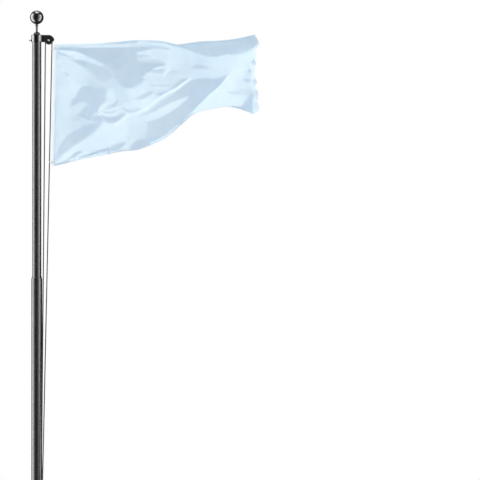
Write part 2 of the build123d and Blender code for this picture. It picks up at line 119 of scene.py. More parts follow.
class Paint:
    """A procedural material around one Principled shader, measured in metres on the object."""

    def __init__(self, name, colour, roughness, metallic=0.0):
        self.material = bpy.data.materials.new(name)
        self.material.use_nodes = True
        self.tree = self.material.node_tree
        self.shader = self.tree.nodes["Principled BSDF"]
        self.set("Base Color", (*colour, 1.0))
        self.set("Roughness", roughness)
        self.set("Metallic", metallic)
        self.place = self.node("ShaderNodeTexCoord").outputs["Object"]
        self.relief = None

    def feed(self, socket, value):
        """Links a socket to another node's output, or sets it to a plain value."""
        if hasattr(value, "is_output"):
            self.tree.links.new(value, socket)
        else:
            socket.default_value = value

    def set(self, socket, value):
        self.feed(self.shader.inputs[socket], value)

    def node(self, kind, inputs=None, **settings):
        made = self.tree.nodes.new(kind)
        for key, value in settings.items():
            setattr(made, key, value)
        for key, value in (inputs or {}).items():
            self.feed(made.inputs[key], value)
        return made

    def math(self, operation, *values):
        inputs = dict(enumerate(values))
        return self.node("ShaderNodeMath", inputs, operation=operation).outputs[0]

    def sine(self, value, pitch):
        """A wave whose crests are this far apart."""
        return self.math("SINE", self.math("MULTIPLY", value, 2 * math.pi / pitch))

    def hypotenuse(self, first, second):
        squares = [self.math("POWER", side, 2.0) for side in (first, second)]
        return self.math("SQRT", self.math("ADD", *squares))

    def split(self, place):
        """The three coordinates of a place."""
        return self.node("ShaderNodeSeparateXYZ", {0: place}).outputs

    def uv(self, name):
        """Coordinates on one of the piece's own UV maps."""
        return self.split(self.node("ShaderNodeUVMap", uv_map=name).outputs[0])

    def stretched(self, scale):
        return self.node("ShaderNodeMapping", {"Vector": self.place, "Scale": scale}).outputs[0]

    def noise(self, size, detail=4.0, place=None):
        """Noise whose features are about this many metres across."""
        inputs = {"Vector": place or self.place, "Scale": 1.0 / size, "Detail": detail, "Roughness": 0.55}
        return self.node("ShaderNodeTexNoise", inputs).outputs["Fac"]

    def ramp(self, value, low, high, from_low=0.3, from_high=0.7):
        """Turns a range of values, by default where most noise lies, into the range from low to high."""
        inputs = {0: value, 1: from_low, 2: from_high, 3: low, 4: high}
        return self.node("ShaderNodeMapRange", inputs).outputs[0]

    def blend(self, share, first, second):
        """The number at this share of the way from the first to the second."""
        return self.node("ShaderNodeMix", {0: share, 2: first, 3: second}).outputs[0]

    def mix(self, share, first, second):
        """The colour at this share of the way from the first to the second."""
        inputs = {0: share}
        for socket, colour in ((6, first), (7, second)):
            inputs[socket] = colour if hasattr(colour, "is_output") else (*colour, 1.0)
        return self.node("ShaderNodeMix", inputs, data_type="RGBA").outputs[2]

    def bump(self, height, depth):
        """Adds relief of this many metres on top of any earlier relief."""
        inputs = {"Height": height, "Distance": depth}
        if self.relief:
            inputs["Normal"] = self.relief
        self.relief = self.node("ShaderNodeBump", inputs).outputs["Normal"]
        self.set("Normal", self.relief)


def uneven_gloss(paint, roughness):
    """Roughness that varies softly, as on a handled surface."""
    handled = paint.ramp(paint.noise(0.06, detail=2.0), -0.03, 0.04)
    paint.set("Roughness", paint.math("ADD", handled, roughness))


def coated_black(name, colour, roughness, grain, grain_depth, coat=0.0):
    """Black finish with fine grain, softly uneven gloss and a trace of dust."""
    paint = Paint(name, colour, roughness)
    paint.set("Coat Weight", coat)
    paint.set("Coat Roughness", 0.2)
    paint.bump(paint.noise(grain, detail=6.0), grain_depth)
    uneven_gloss(paint, roughness)
    dust = paint.ramp(paint.noise(0.015, detail=6.0), 0.0, 1.0, 0.45, 0.75)
    paint.set("Base Color", paint.mix(dust, colour, tuple(1.3 * c + 0.001 for c in colour)))
    return paint


def casting_paint():
    """Black cast truck: its turned sleeve is glossy and the flat cheeks of the bracket are duller."""
    black = (0.0025, 0.0025, 0.0028)
    sleeve_roughness = 0.25
    cheek_roughness = 0.37
    paint = Paint("black_casting", black, sleeve_roughness)
    paint.set("Specular IOR Level", 0.62)
    paint.bump(paint.noise(0.0016, detail=6.0), 0.0000007)
    across = paint.split(paint.place)[0]
    cheek = paint.ramp(across, 0.0, 1.0, tube_radius + CHEEK_START, tube_radius + CHEEK_FULL)
    paint.set("Base Color", paint.mix(cheek, black, (0.0032, 0.0032, 0.0035)))
    uneven_gloss(paint, paint.ramp(cheek, sleeve_roughness, cheek_roughness, 0.0, 1.0))
    return paint.material


def tube_paint():
    """Satin black tube: drawing lines along it, faint cloudiness and a trace of dust."""
    paint = coated_black("black_tube", (0.0045, 0.0045, 0.005), 0.38, grain=0.0011, grain_depth=0.0000015)
    paint.set("Specular IOR Level", 0.39)
    lines = paint.noise(0.0012, detail=3.0, place=paint.stretched((1.0, 1.0, 0.004)))
    paint.bump(lines, 0.0000015)
    return paint.material


def ball_paint():
    """Glossy black ball under a thin coat."""
    black = (0.0012, 0.0012, 0.0014)
    return coated_black("black_ball", black, 0.285, grain=0.0022, grain_depth=0.0000003, coat=0.12).material


def turned_paint(name, colour, roughness, scale, depth, metallic=1.0, smudged=1.0):
    """Turned metal: fine marks along or round one axis, and smudges."""
    paint = Paint(name, colour, roughness, metallic)
    marks = paint.noise(0.0007, detail=2.0, place=paint.stretched(scale))
    paint.bump(marks, depth)
    smudges = paint.noise(0.006, detail=3.0)
    paint.set("Roughness", paint.ramp(smudges, roughness - 0.05 * smudged, roughness + 0.08 * smudged))
    darker = tuple(c * 0.82 for c in colour)
    paint.set("Base Color", paint.mix(paint.ramp(smudges, 0.0, 1.0), darker, colour))
    return paint.material


def moulded_paint(name, colour, roughness):
    """Moulded nylon: slight orange peel, softly uneven gloss and lighter dusty patches."""
    paint = Paint(name, colour, roughness)
    paint.bump(paint.noise(0.0016), 0.00004)
    dust = paint.ramp(paint.noise(0.012, detail=5.0), 0.0, 0.35, 0.45, 0.8)
    paint.set("Base Color", paint.mix(dust, colour, tuple(c * 2.2 + 0.01 for c in colour)))
    paint.set("Roughness", paint.ramp(paint.noise(0.01), roughness - 0.06, roughness + 0.08))
    return paint.material


def stitches(paint, from_edge, along, depth):
    """A row of raised stitches at one distance from an edge, each about 0.7 mm wide."""
    off = paint.math("ABSOLUTE", paint.math("SUBTRACT", from_edge, depth))
    near = paint.ramp(off, 1.0, 0.0, 0.0002, 0.0005)
    return paint.math("MULTIPLY", near, paint.ramp(paint.sine(along, STITCH_LENGTH), 0.0, 1.0, -0.5, 0.1))


def cloth_paint():
    """Pale blue satin polyester: fine weave, slight puckers, sewn hems and a soft sheen."""
    paint = Paint("pale_blue_cloth", (0.665, 0.815, 0.955), 0.46)
    paint.set("Specular IOR Level", 0.04)
    paint.set("Sheen Weight", 0.12)
    paint.set("Sheen Roughness", 0.4)
    length, width = paint.uv("cloth")[:2]
    over = paint.math("MULTIPLY", paint.sine(length, THREAD_PITCH), paint.sine(width, THREAD_PITCH))
    paint.bump(over, 0.00006)
    paint.bump(paint.noise(0.018, detail=5.0), 0.0002)
    from_foot = paint.math("SUBTRACT", CLOTH_WIDTH, width)
    from_fly = paint.math("SUBTRACT", CLOTH_LENGTH, length)
    top_seam = stitches(paint, width, length, STITCH_DEPTH)
    foot_seam = stitches(paint, from_foot, length, STITCH_DEPTH)
    fly_seam = stitches(paint, from_fly, width, STITCH_DEPTH)
    sewn = paint.math("MAXIMUM", paint.math("MAXIMUM", top_seam, foot_seam), fly_seam)
    paint.bump(sewn, 0.0003)
    cloud = paint.ramp(paint.noise(0.05), 0.0, 1.0)
    cloth = paint.mix(cloud, (0.64, 0.80, 0.95), (0.69, 0.83, 0.96))
    paint.set("Base Color", paint.mix(sewn, cloth, (0.74, 0.87, 0.97)))
    return paint.material


def heading_paint():
    """Blue-white canvas tape with a coarse weave, sewn on along both edges and bluer towards the cloth."""
    paint = Paint("blue_white_heading", (0.80, 0.88, 0.96), 0.8)
    paint.set("Sheen Weight", 0.2)
    paint.bump(paint.noise(0.0011, detail=2.0), 0.0003)
    threads = paint.noise(0.0016, detail=2.0, place=paint.stretched((1.0, 1.0, 0.08)))
    paint.bump(threads, 0.0002)
    x, _, z = paint.split(paint.place)
    half = HEADING_WIDTH / 2
    turn = (heading_high.x - heading_low.x - HEADING_WIDTH) / (heading_high.z - heading_low.z)
    rise = paint.math("SUBTRACT", z, heading_low.z)
    middle = paint.math("ADD", paint.math("MULTIPLY", rise, turn), heading_low.x + half)
    across = paint.math("SUBTRACT", x, middle)
    from_edge = paint.math("SUBTRACT", half, paint.math("ABSOLUTE", across))
    sewn = stitches(paint, from_edge, z, HEADING_STITCH_DEPTH)
    paint.bump(sewn, 0.0004)
    cloud = paint.ramp(paint.noise(0.03), 0.0, 1.0)
    blue = paint.mix(cloud, (0.66, 0.80, 0.94), (0.70, 0.83, 0.95))
    inner = paint.ramp(across, 0.0, 1.0, -half, half)
    canvas = paint.mix(inner, (0.84, 0.90, 0.97), blue)
    paint.set("Base Color", paint.mix(sewn, canvas, (0.88, 0.93, 0.98)))
    return paint.material


def rope_paint():
    """Black braided polyester: two crossing sets of strands on the rope's own UV map, slightly dusty."""
    paint = Paint("black_rope", (0.008, 0.008, 0.009), 0.62)
    paint.set("Specular IOR Level", 0.25)
    paint.set("Sheen Weight", 0.04)
    paint.set("Sheen Roughness", 0.5)
    turn, run = paint.uv("rope")[:2]
    around = paint.math("MULTIPLY", turn, BRAID_STRANDS)
    along = paint.math("DIVIDE", run, BRAID_STEP)
    right = paint.math("ADD", around, along)
    left = paint.math("SUBTRACT", around, along)
    # A strand is the hump between two zeros of a wave, so one strand is half a wave
    right_strand, left_strand = (paint.math("ABSOLUTE", paint.sine(way, 2.0)) for way in (right, left))
    cells = paint.math("ADD", paint.math("FLOOR", right), paint.math("FLOOR", left))
    right_on_top = paint.math("FLOORED_MODULO", cells, 2.0)
    height = paint.blend(right_on_top, left_strand, right_strand)
    paint.bump(height, 0.0006)
    paint.bump(paint.noise(0.0005, detail=3.0), 0.0001)
    dust = paint.ramp(paint.noise(0.02), 0.0, 0.6)
    worn = paint.math("MULTIPLY", dust, height)
    paint.set("Base Color", paint.mix(worn, (0.006, 0.006, 0.007), (0.016, 0.016, 0.017)))
    return paint.material


def pin_paint():
    """Stainless rivet head: fine turning rings, and two wedges of painted highlight laid into its colour."""
    paint = Paint("stainless_pin", (0.8, 0.8, 0.8), 0.3, 0.55)
    x, _, z = paint.split(paint.place)
    across = paint.math("SUBTRACT", x, sheave_centre.x)
    up = paint.math("SUBTRACT", z, sheave_centre.z)
    # Painted highlight: the head's colour is pale in two opposite wedges and dark between them, at a fixed
    # angle
    wedge_turn = 0.35
    angle = paint.math("ADD", paint.math("ARCTAN2", up, across), wedge_turn)
    highlight_wedges = paint.math("COSINE", paint.math("MULTIPLY", angle, 2.0))
    painted_highlight = paint.ramp(highlight_wedges, 0.0, 1.0, -0.9, 0.5)
    paint.set("Base Color", paint.mix(painted_highlight, (0.3, 0.3, 0.31), (0.97, 0.97, 0.98)))
    rings = paint.sine(paint.hypotenuse(across, up), PIN_RING_PITCH)
    paint.bump(rings, 0.000008)
    return paint.material


def finish_cad_nodes():
    """Gives every carried-over node its finish."""
    tube = tube_paint()
    casting = casting_paint()
    ball = ball_paint()
    rod = turned_paint("black_rod", (0.005, 0.005, 0.0053), 0.16, ROUND_Z, 0.0000002,
                       metallic=0.0, smudged=0.3)
    steel = turned_paint("stainless", (0.72, 0.72, 0.73), 0.24, ALONG_Y, 0.00002)
    brass = turned_paint("brass", (0.72, 0.49, 0.2), 0.26, ALONG_X, 0.00002)
    rolled = turned_paint("grommet_nickel", (0.8, 0.84, 0.88), 0.3, ROLLED_ALONG_Y, 0.00001, metallic=0.1)
    mill = turned_paint("bare_aluminium", (0.4, 0.4, 0.41), 0.6, ROUND_Z, 0.00002)
    nylon = moulded_paint("black_nylon", (0.02, 0.02, 0.021), 0.42)
    clip = moulded_paint("white_clip", (0.8, 0.82, 0.84), 0.4)
    finishes = {
        "ground_sleeve": mill,
        "truck_body": casting,
        "sheave": nylon,
        "sheave_pin": pin_paint(),
        "set_screw": brass,
        "spindle": rod,
        "ball_collar": rod,
        "ball_upper_half": ball,
        "ball_lower_half": ball,
        "cleat": casting,
        "cleat_screw_upper": steel,
        "cleat_screw_lower": steel,
        "upper_clip": clip,
        "lower_clip": clip,
        "upper_grommet": rolled,
        "lower_grommet": rolled,
        "flag_heading": heading_paint(),
    }
    for name, node in nodes.items():
        finish = tube if name.startswith("pole_section") else finishes.get(name)
        if finish:
            node.data.materials.clear()
            node.data.materials.append(finish)


# Flag: the cloth as it stands in the wind.
# Each patch tells how steeply the cloth leans towards the light from the upper left (a slope in hundredths),
# how soft the patch's rim is, and its outline as (distance from the pole's axis, drop below the truck).
# A later patch covers an earlier one where they overlap. Lengths are in millimetres.

PATCHES = {
    "hoist field": (5, 20, [(60, -20), (260, 100), (300, 240), (210, 420), (150, 560), (60, 720)]),
    "hoist strip": (-6, 8, [(60, 140), (140, 150), (200, 176), (222, 214), (190, 240), (150, 246),
                            (130, 290), (116, 340), (60, 370)]),
    "left swell": (20, 16, [(130, 250), (225, 230), (262, 232), (215, 300), (185, 370), (205, 405),
                            (120, 420), (108, 340)]),
    "upper swell": (13, 12, [(140, 95), (190, 100), (270, 150), (295, 185), (270, 240), (210, 235),
                             (160, 170)]),
    "below pocket": (-4, 12, [(200, 408), (240, 415), (292, 436), (325, 446), (285, 462), (235, 485),
                              (190, 510), (185, 440)]),
    "shoulder": (-36, 8, [(268, 142), (300, 126), (345, 122), (385, 140), (425, 178), (432, 196),
                          (395, 212), (372, 231), (348, 222), (330, 211), (305, 180), (285, 160)]),
    "under shoulder": (-10, 8, [(300, 178), (330, 210), (372, 232), (420, 200), (455, 228), (430, 262),
                                (380, 258), (300, 243), (275, 235)]),
    "belly": (-54, 3, [(98, 30), (200, 34), (300, 37), (450, 37), (560, 30), (640, 30), (632, 42),
                       (585, 52), (556, 60), (562, 74), (600, 82), (556, 92), (590, 110), (650, 113),
                       (720, 124), (700, 132), (664, 140), (650, 148), (636, 162), (606, 176), (590, 190),
                       (602, 204), (576, 234), (548, 246), (538, 256), (490, 256), (466, 241), (446, 216),
                       (425, 186), (398, 158), (376, 134), (352, 116), (328, 103), (290, 84), (240, 61),
                       (200, 50), (150, 44), (98, 37)]),
    "belly left": (-62, 6, [(150, 38), (480, 38), (470, 150), (420, 150), (384, 136), (350, 112), (300, 88),
                            (240, 62), (200, 50)]),
    "feather gap": (-38, 4, [(560, 76), (600, 72), (648, 80), (640, 88), (600, 92), (566, 90)]),
    "lower feather": (-33, 4, [(556, 96), (600, 95), (650, 96), (700, 104), (740, 118), (700, 116),
                               (640, 110), (580, 108)]),
    "upper feather": (28, 4, [(560, 60), (585, 54), (632, 44), (652, 34), (720, 28), (790, 26), (860, 50),
                              (940, 76), (1000, 78), (1060, 66), (1110, 66), (1090, 120), (1060, 180),
                              (1000, 202), (950, 200), (900, 203), (860, 212), (820, 204), (790, 190),
                              (760, 170), (740, 156), (700, 140), (735, 122), (700, 104), (655, 92),
                              (640, 78), (600, 70), (575, 70)]),
    "light field left": (34, 14, [(690, 34), (790, 34), (800, 120), (760, 140), (700, 100)]),
    "light field low": (8, 16, [(800, 80), (860, 70), (880, 200), (820, 200), (790, 170)]),
    "dip": (-40, 7, [(862, 140), (884, 124), (922, 122), (950, 136), (968, 149), (900, 151), (858, 150)]),
    "band": (-43, 3, [(780, 8), (850, 0), (900, -8), (1000, -14), (1100, -24), (1222, -50), (1240, 6),
                      (1204, 30), (1176, 52), (1150, 62), (1100, 65), (1060, 62), (1030, 68), (1014, 76),
                      (960, 78), (940, 74), (900, 62), (860, 48), (828, 34), (792, 20)]),
    "band light": (-10, 5, [(815, 12), (850, 10), (895, 12), (880, 22), (830, 24)]),
    "band middle light": (-20, 6, [(950, 4), (1010, 0), (1070, -2), (1060, 12), (1000, 16), (955, 14)]),
    "right light": (55, 12, [(1110, 66), (1160, 60), (1200, 36), (1240, 10), (1240, 130), (1180, 150),
                             (1150, 190), (1120, 260), (1080, 280), (1150, 300), (1180, 310), (1150, 350),
                             (1120, 370), (865, 410), (905, 352), (960, 296), (1010, 252), (1044, 216),
                             (1066, 184), (1095, 120)]),
    "right shine": (60, 14, [(1000, 262), (1060, 255), (1080, 290), (1060, 350), (960, 370), (900, 385),
                             (940, 330)]),
    "corner ray": (36, 4, [(98, 38), (150, 45), (200, 51), (235, 62), (272, 78), (300, 92), (335, 106),
                           (362, 122), (376, 136), (350, 132), (316, 124), (288, 112), (250, 100),
                           (205, 92), (165, 76), (130, 56), (98, 46)]),
    "corner shine": (50, 4, [(220, 80), (262, 78), (300, 97), (330, 112), (300, 108), (262, 96)]),
    "corner dip": (-56, 3, [(110, 51), (138, 58), (160, 67), (182, 79), (150, 79), (132, 70)]),
    "corner gap": (-16, 5, [(164, 72), (215, 68), (218, 98), (172, 98)]),
    "second dip": (-56, 4, [(194, 100), (238, 100), (278, 110), (284, 132), (272, 142), (252, 134),
                            (226, 120), (204, 108)]),
    "dip end": (-34, 5, [(280, 112), (318, 124), (345, 130), (310, 140), (284, 134)]),
    "pocket": (-40, 4, [(254, 249), (300, 244), (342, 248), (380, 258), (384, 276), (379, 300), (381, 324),
                        (362, 344), (350, 352), (345, 374), (332, 386), (316, 398), (306, 414), (298, 428),
                        (288, 436), (262, 428), (236, 415), (224, 406), (240, 392), (252, 376), (266, 360),
                        (284, 346), (276, 338), (258, 334), (240, 335), (222, 346), (206, 354), (188, 360),
                        (193, 336), (205, 316), (226, 302), (229, 278), (243, 262)]),
    "pocket corner": (-22, 8, [(330, 256), (378, 262), (378, 300), (345, 290)]),
    "pocket end": (-24, 5, [(186, 418), (222, 410), (246, 426), (236, 442), (200, 440)]),
    "low band": (-41, 4, [(308, 424), (330, 402), (350, 406), (360, 424), (366, 444), (346, 470),
                          (328, 492), (298, 518), (262, 544), (236, 562), (208, 584), (180, 606),
                          (150, 630), (124, 656), (88, 690), (86, 676), (104, 640), (114, 610), (130, 580),
                          (150, 546), (172, 520), (200, 501), (240, 481), (270, 463), (300, 456),
                          (320, 448), (315, 436)]),
    "light low": (32, 9, [(366, 446), (382, 438), (400, 452), (436, 452), (462, 441), (484, 420),
                          (520, 404), (560, 404), (560, 440), (520, 500), (500, 556), (450, 562),
                          (418, 574), (398, 590), (330, 604), (260, 604), (204, 632), (150, 656), (94, 690),
                          (126, 658), (152, 632), (210, 586), (264, 546), (300, 520), (330, 494),
                          (348, 471)]),
    "foot shine": (34, 5, [(130, 646), (190, 596), (232, 572), (250, 572), (226, 600), (180, 628)]),
    "light middle": (13, 24, [(520, 430), (610, 448), (618, 500), (600, 540), (550, 548), (520, 560),
                              (520, 480)]),
    "first foot dip": (-62, 3, [(160, 656), (190, 640), (214, 616), (262, 602), (242, 620), (220, 632),
                                (198, 646)]),
    "foot light": (34, 3, [(215, 644), (240, 628), (262, 606), (300, 602), (290, 618), (250, 636)]),
    "foot shade": (-34, 4, [(402, 602), (420, 577), (450, 566), (492, 559), (502, 566), (482, 586),
                            (470, 602), (440, 612)]),
    "foot tongue": (20, 4, [(462, 598), (498, 562), (536, 541), (562, 544), (546, 556), (522, 588),
                            (506, 600)]),
    "lens": (-41, 5, [(612, 447), (642, 440), (682, 424), (720, 402), (762, 379), (802, 348), (846, 308),
                      (800, 318), (846, 306), (880, 260), (866, 214), (900, 203), (950, 200), (976, 205),
                      (1000, 203), (1030, 192), (1050, 183), (1067, 183), (1060, 196), (1044, 216),
                      (1028, 236), (1008, 252), (980, 276), (958, 294), (940, 311), (902, 350), (870, 387),
                      (850, 410), (800, 462), (740, 515), (640, 572), (560, 604), (508, 600), (530, 576),
                      (546, 556), (564, 545), (606, 538), (618, 508), (622, 474)]),
    "lens left": (-16, 22, [(622, 450), (670, 445), (672, 520), (610, 545), (620, 500)]),
    "under crest": (-38, 4, [(596, 402), (622, 387), (650, 364), (682, 340), (700, 326), (732, 308),
                             (762, 288), (802, 260), (850, 224), (872, 214), (880, 300), (832, 308),
                             (800, 318), (762, 330), (722, 346), (692, 364), (652, 386), (622, 399)]),
    "inner ridge": (22, 4, [(520, 430), (562, 428), (590, 411), (612, 404), (652, 391), (690, 374),
                            (722, 354), (762, 335), (800, 321), (838, 306), (842, 311), (802, 345),
                            (780, 361), (740, 386), (700, 411), (662, 429), (622, 437), (600, 448),
                            (540, 445)]),
    "middle light": (4, 6, [(445, 270), (480, 262), (536, 260), (552, 250), (578, 238), (606, 206),
                            (640, 166), (660, 152), (720, 143), (740, 158), (722, 190), (712, 210),
                            (680, 212), (640, 214), (622, 262), (600, 284), (560, 302), (544, 316),
                            (520, 330), (470, 340), (440, 350)]),
    "middle shine": (27, 6, [(545, 318), (600, 314), (640, 286), (660, 300), (668, 318), (640, 342),
                             (600, 368), (560, 368), (500, 366), (470, 350), (500, 338)]),
    "rim calm": (-4, 6, [(592, 206), (632, 198), (638, 246), (600, 244)]),
    "shine calm": (-4, 6, [(638, 258), (676, 256), (680, 304), (646, 312)]),
    "middle grey": (-6, 5, [(650, 198), (700, 205), (740, 200), (745, 232), (715, 262), (684, 272),
                            (650, 262), (626, 262), (634, 226)]),
    "crumple light": (20, 5, [(395, 262), (425, 262), (434, 300), (440, 330), (420, 346), (440, 362),
                              (470, 366), (490, 384), (440, 404), (400, 410), (350, 396), (340, 384),
                              (354, 352), (382, 328), (392, 300)]),
    "crumple valley": (-42, 4, [(349, 402), (364, 408), (380, 416), (400, 421), (430, 420), (452, 410),
                                (470, 398), (490, 391), (492, 400), (480, 420), (460, 440), (430, 450),
                                (400, 451), (380, 441), (364, 426)]),
    "crumple nook": (-27, 4, [(452, 312), (458, 322), (446, 346), (424, 364), (398, 360), (386, 354),
                              (412, 350), (434, 336)]),
    "middle dip": (-42, 4, [(544, 311), (570, 298), (602, 284), (622, 270), (642, 266), (648, 280),
                            (622, 298), (600, 312), (570, 318)]),
    "third dip": (-54, 4, [(664, 284), (690, 278), (726, 272), (716, 286), (690, 296), (668, 294)]),
    "above crest": (-44, 4, [(716, 281), (738, 262), (760, 240), (782, 224), (802, 209), (842, 202),
                             (850, 206), (822, 222), (802, 236), (780, 250), (752, 265), (732, 275)]),
    "upper fold dip": (-18, 5, [(744, 162), (770, 158), (800, 166), (790, 178), (760, 182), (736, 186),
                                (722, 204), (708, 216), (712, 204)]),
    "first notch": (-44, 4, [(642, 154), (704, 151), (708, 166), (690, 173), (648, 171)]),
    "hoist crease": (-60, 5, [(105, 115), (125, 118), (142, 145), (120, 140)]),
    "second hoist crease": (-46, 5, [(140, 165), (160, 161), (188, 190), (168, 200)]),
    "low hoist crease": (-20, 5, [(105, 490), (122, 480), (128, 500), (104, 530)]),
    "band tip": (-58, 5, [(1150, -24), (1214, -41), (1232, 6), (1206, 28), (1184, 2)]),
    "fly grey": (44, 8, [(1150, 190), (1185, 185), (1205, 215), (1200, 260), (1150, 262), (1120, 250)]),
    "fly corner": (-38, 5, [(1128, 368), (1146, 356), (1164, 332), (1184, 305), (1192, 290), (1208, 286),
                            (1210, 330), (1205, 402), (1180, 391), (1150, 377)]),
    "fly spot": (-52, 4, [(1174, 157), (1186, 153), (1196, 160), (1194, 172), (1180, 170)]),
    "second fly spot": (-36, 4, [(1144, 212), (1158, 204), (1194, 208), (1190, 220), (1176, 228),
                                 (1160, 222)]),
    "fly strip": (64, 4, [(1206, 32), (1240, 26), (1240, 400), (1206, 400), (1202, 330), (1212, 280),
                          (1196, 250), (1196, 180), (1190, 130), (1196, 60)]),
    "third fly spot": (-50, 3, [(1196, 98), (1216, 96), (1218, 122), (1198, 122)]),
    "fly strip spot": (-16, 3, [(1203, 208), (1224, 206), (1226, 234), (1206, 236)]),
    "second fly strip spot": (-16, 4, [(1212, 270), (1230, 272), (1230, 310), (1214, 308)]),
    "third fly strip spot": (-6, 4, [(1214, 345), (1234, 342), (1234, 372), (1216, 374)]),
    "fly dip": (-8, 4, [(1060, 279), (1078, 274), (1120, 281), (1180, 286), (1196, 294), (1120, 293),
                        (1080, 289)]),
}

# Narrow creases and ridges, laid over the patches: lean in hundredths, width in millimetres, and the line
# that each follows
CREASES = {
    "hem shine": (30, 7, [(98, 17), (200, 17), (300, 17), (380, 14), (470, 6)]),
    "hem underside": (-44, 7, [(98, 27), (150, 31), (215, 35)]),
    "hem lower light": (22, 7, [(240, 29), (300, 31), (400, 29), (470, 27), (540, 22), (640, 20)]),
    "hem shadow": (-46, 8, [(520, 37), (560, 33), (600, 30), (650, 30), (700, 34), (735, 37)]),
    "hem dark": (-62, 8, [(390, 10), (450, 8), (500, 4), (540, -2), (566, -9)]),
    "hem middle light": (92, 10, [(566, 6), (600, 4), (650, 8), (700, 10), (740, 18)]),
    "hem edge dark": (-66, 5, [(692, -1), (730, 6), (765, 15), (800, 24), (845, 35)]),
    "hem line": (-20, 3, [(560, 13), (600, 14), (620, 13)]),
    "corner black": (-110, 7, [(100, 34), (140, 38), (190, 42)]),
    "band edge": (-54, 4, [(888, -2), (940, -5), (1000, -7), (1065, -10)]),
    "band corner": (-62, 6, [(1160, -26), (1190, -30), (1212, -34), (1226, 2)]),
    "crest": (84, 9, [(600, 374), (640, 346), (672, 322), (700, 301), (740, 280), (780, 261), (820, 231),
                      (856, 206)]),
    "crest foot": (62, 18, [(440, 458), (466, 442), (488, 424), (512, 408), (556, 396), (604, 372)]),
    "contour shine": (90, 9, [(1068, 188), (1050, 214), (1014, 254), (962, 299), (908, 352), (872, 390)]),
    "crumple lip": (92, 5, [(350, 393), (372, 402), (400, 408), (425, 407), (446, 400)]),
    "crumple pleat": (-60, 4, [(362, 386), (380, 391), (410, 391), (434, 384)]),
    "crumple upper": (78, 5, [(352, 372), (372, 360), (386, 346), (398, 334)]),
    "crumple right": (74, 5, [(424, 371), (450, 364), (472, 358)]),
    "notch streak": (40, 8, [(744, 153), (724, 166), (708, 188)]),
    "feather line": (34, 4, [(590, 91), (630, 89), (668, 92)]),
    "crumple shelf": (62, 5, [(344, 375), (372, 381), (398, 380), (420, 376)]),
    "crumple cut": (-28, 5, [(384, 366), (402, 367), (422, 361)]),
    "crumple point": (60, 6, [(340, 404), (350, 408)]),
    "ray end": (-44, 12, [(378, 138), (402, 158), (428, 186)]),
    "crumple spot": (-60, 6, [(331, 368), (336, 373)]),
    "middle crease": (-52, 5, [(476, 368), (498, 381), (522, 388), (548, 382), (572, 371)]),
    "notch line": (36, 4, [(652, 150), (680, 144), (730, 142)]),
    "grey line": (-44, 5, [(640, 237), (662, 242), (700, 243), (732, 238)]),
    "under grey line": (30, 4, [(662, 255), (702, 253)]),
    "lens foot hem": (78, 8, [(636, 562), (676, 545), (704, 530), (740, 506)]),
    "second foot dip": (-78, 8, [(240, 644), (280, 634), (310, 622), (345, 609), (396, 598)]),
    "foot hem light": (52, 7, [(224, 656), (300, 640), (400, 622)]),
    "foot corner": (-95, 9, [(104, 685), (124, 680), (148, 673), (176, 664)]),
    "seam tick": (-90, 5, [(398, 588), (398, 624)]),
    "foot hem dark": (-80, 6, [(464, 609), (500, 606), (560, 602)]),
    "foot edge light": (70, 6, [(818, 436), (840, 414), (862, 394)]),
    "foot edge dark": (-76, 5, [(800, 452), (825, 434), (850, 412), (866, 402)]),
    "fly foot line": (-84, 6, [(1088, 362), (1130, 368), (1160, 383), (1200, 402)]),
    "pocket lower line": (8, 5, [(206, 410), (240, 418), (290, 437), (330, 449)]),
    "pocket corner dark": (-56, 6, [(280, 430), (300, 433)]),
    "finger tip": (30, 6, [(560, 64), (590, 60), (630, 56)]),
    "gap line": (-20, 4, [(560, 99), (600, 100), (640, 100)]),
    "gap dark": (-62, 8, [(655, 126), (685, 129), (712, 126)]),
    "stair one": (-14, 4, [(606, 172), (625, 169), (650, 172)]),
    "stair two": (-10, 4, [(585, 196), (610, 189), (640, 190)]),
    "stair dark": (-44, 5, [(590, 208), (610, 204)]),
    "low stair": (-18, 5, [(540, 240), (562, 232), (590, 222)]),
    "double hem": (-70, 4, [(716, 522), (746, 500), (776, 476)]),
    "double hem light": (60, 5, [(724, 512), (752, 490), (784, 462)]),
}

# How softly a crease's lean fades, as a share of its width
CREASE_SOFTNESS = 0.6

# Outline of the cloth, as (distance from the pole's axis, drop below the truck) in millimetres
TOP_EDGE = [(101, 15), (200, 13), (300, 13), (400, 9), (500, -2), (590, -10), (650, -10), (700, -6),
            (745, 4), (785, 12), (830, 6), (900, -3), (1000, -9), (1100, -19), (1214, -41)]
FLY_EDGE = [(1214, -41), (1235, 8), (1221, 32), (1215, 58), (1221, 78), (1215, 98), (1222, 120),
            (1209, 142), (1214, 160), (1209, 182), (1219, 205), (1225, 226), (1214, 250), (1230, 276),
            (1233, 302), (1226, 330), (1236, 358), (1228, 388), (1203, 401)]
FOOT_EDGE = [(88, 691), (150, 678), (221, 660), (310, 641), (401, 624), (470, 609), (560, 600), (630, 575),
             (737, 518), (800, 463), (865, 405), (950, 379), (1083, 365), (1140, 378), (1203, 401)]
HOIST_EDGE = [(101, 15), (88, 691)]

# Each edge is followed in steps of this many millimetres
EDGE_STEP = 2.0

# Along the heading the cloth is held this near to the viewer, at its top and at its foot. The swells give
# way to that within HOIST_REACH of the heading, and the creases within CREASE_REACH. The heading covers the
# cloth's first HEADING_COVER. All in millimetres.
HOIST_NEARNESS = (0.0, 9.0)
HOIST_REACH = 140.0
CREASE_REACH = 26.0
HEADING_COVER = 10.0

# Relief of the cloth, worked out on a square grid over this room (left, top, right, foot), in millimetres.
# What is narrower than about SWELL_SIZE down the cloth counts as a crease at the heading. The light falls
# along AWAY_FROM_LIGHT, and SIDEWAYS_STIFFNESS keeps the cloth from rippling across it. Swells much wider
# than WIDEST_SWELL are left out.
GRID_STEP = 3.0
ROOM = (-160.0, -200.0, 1380.0, 860.0)
SWELL_SIZE = 45.0
AWAY_FROM_LIGHT = (0.581, 0.813)
SIDEWAYS_STIFFNESS = 0.03
WIDEST_SWELL = 700.0

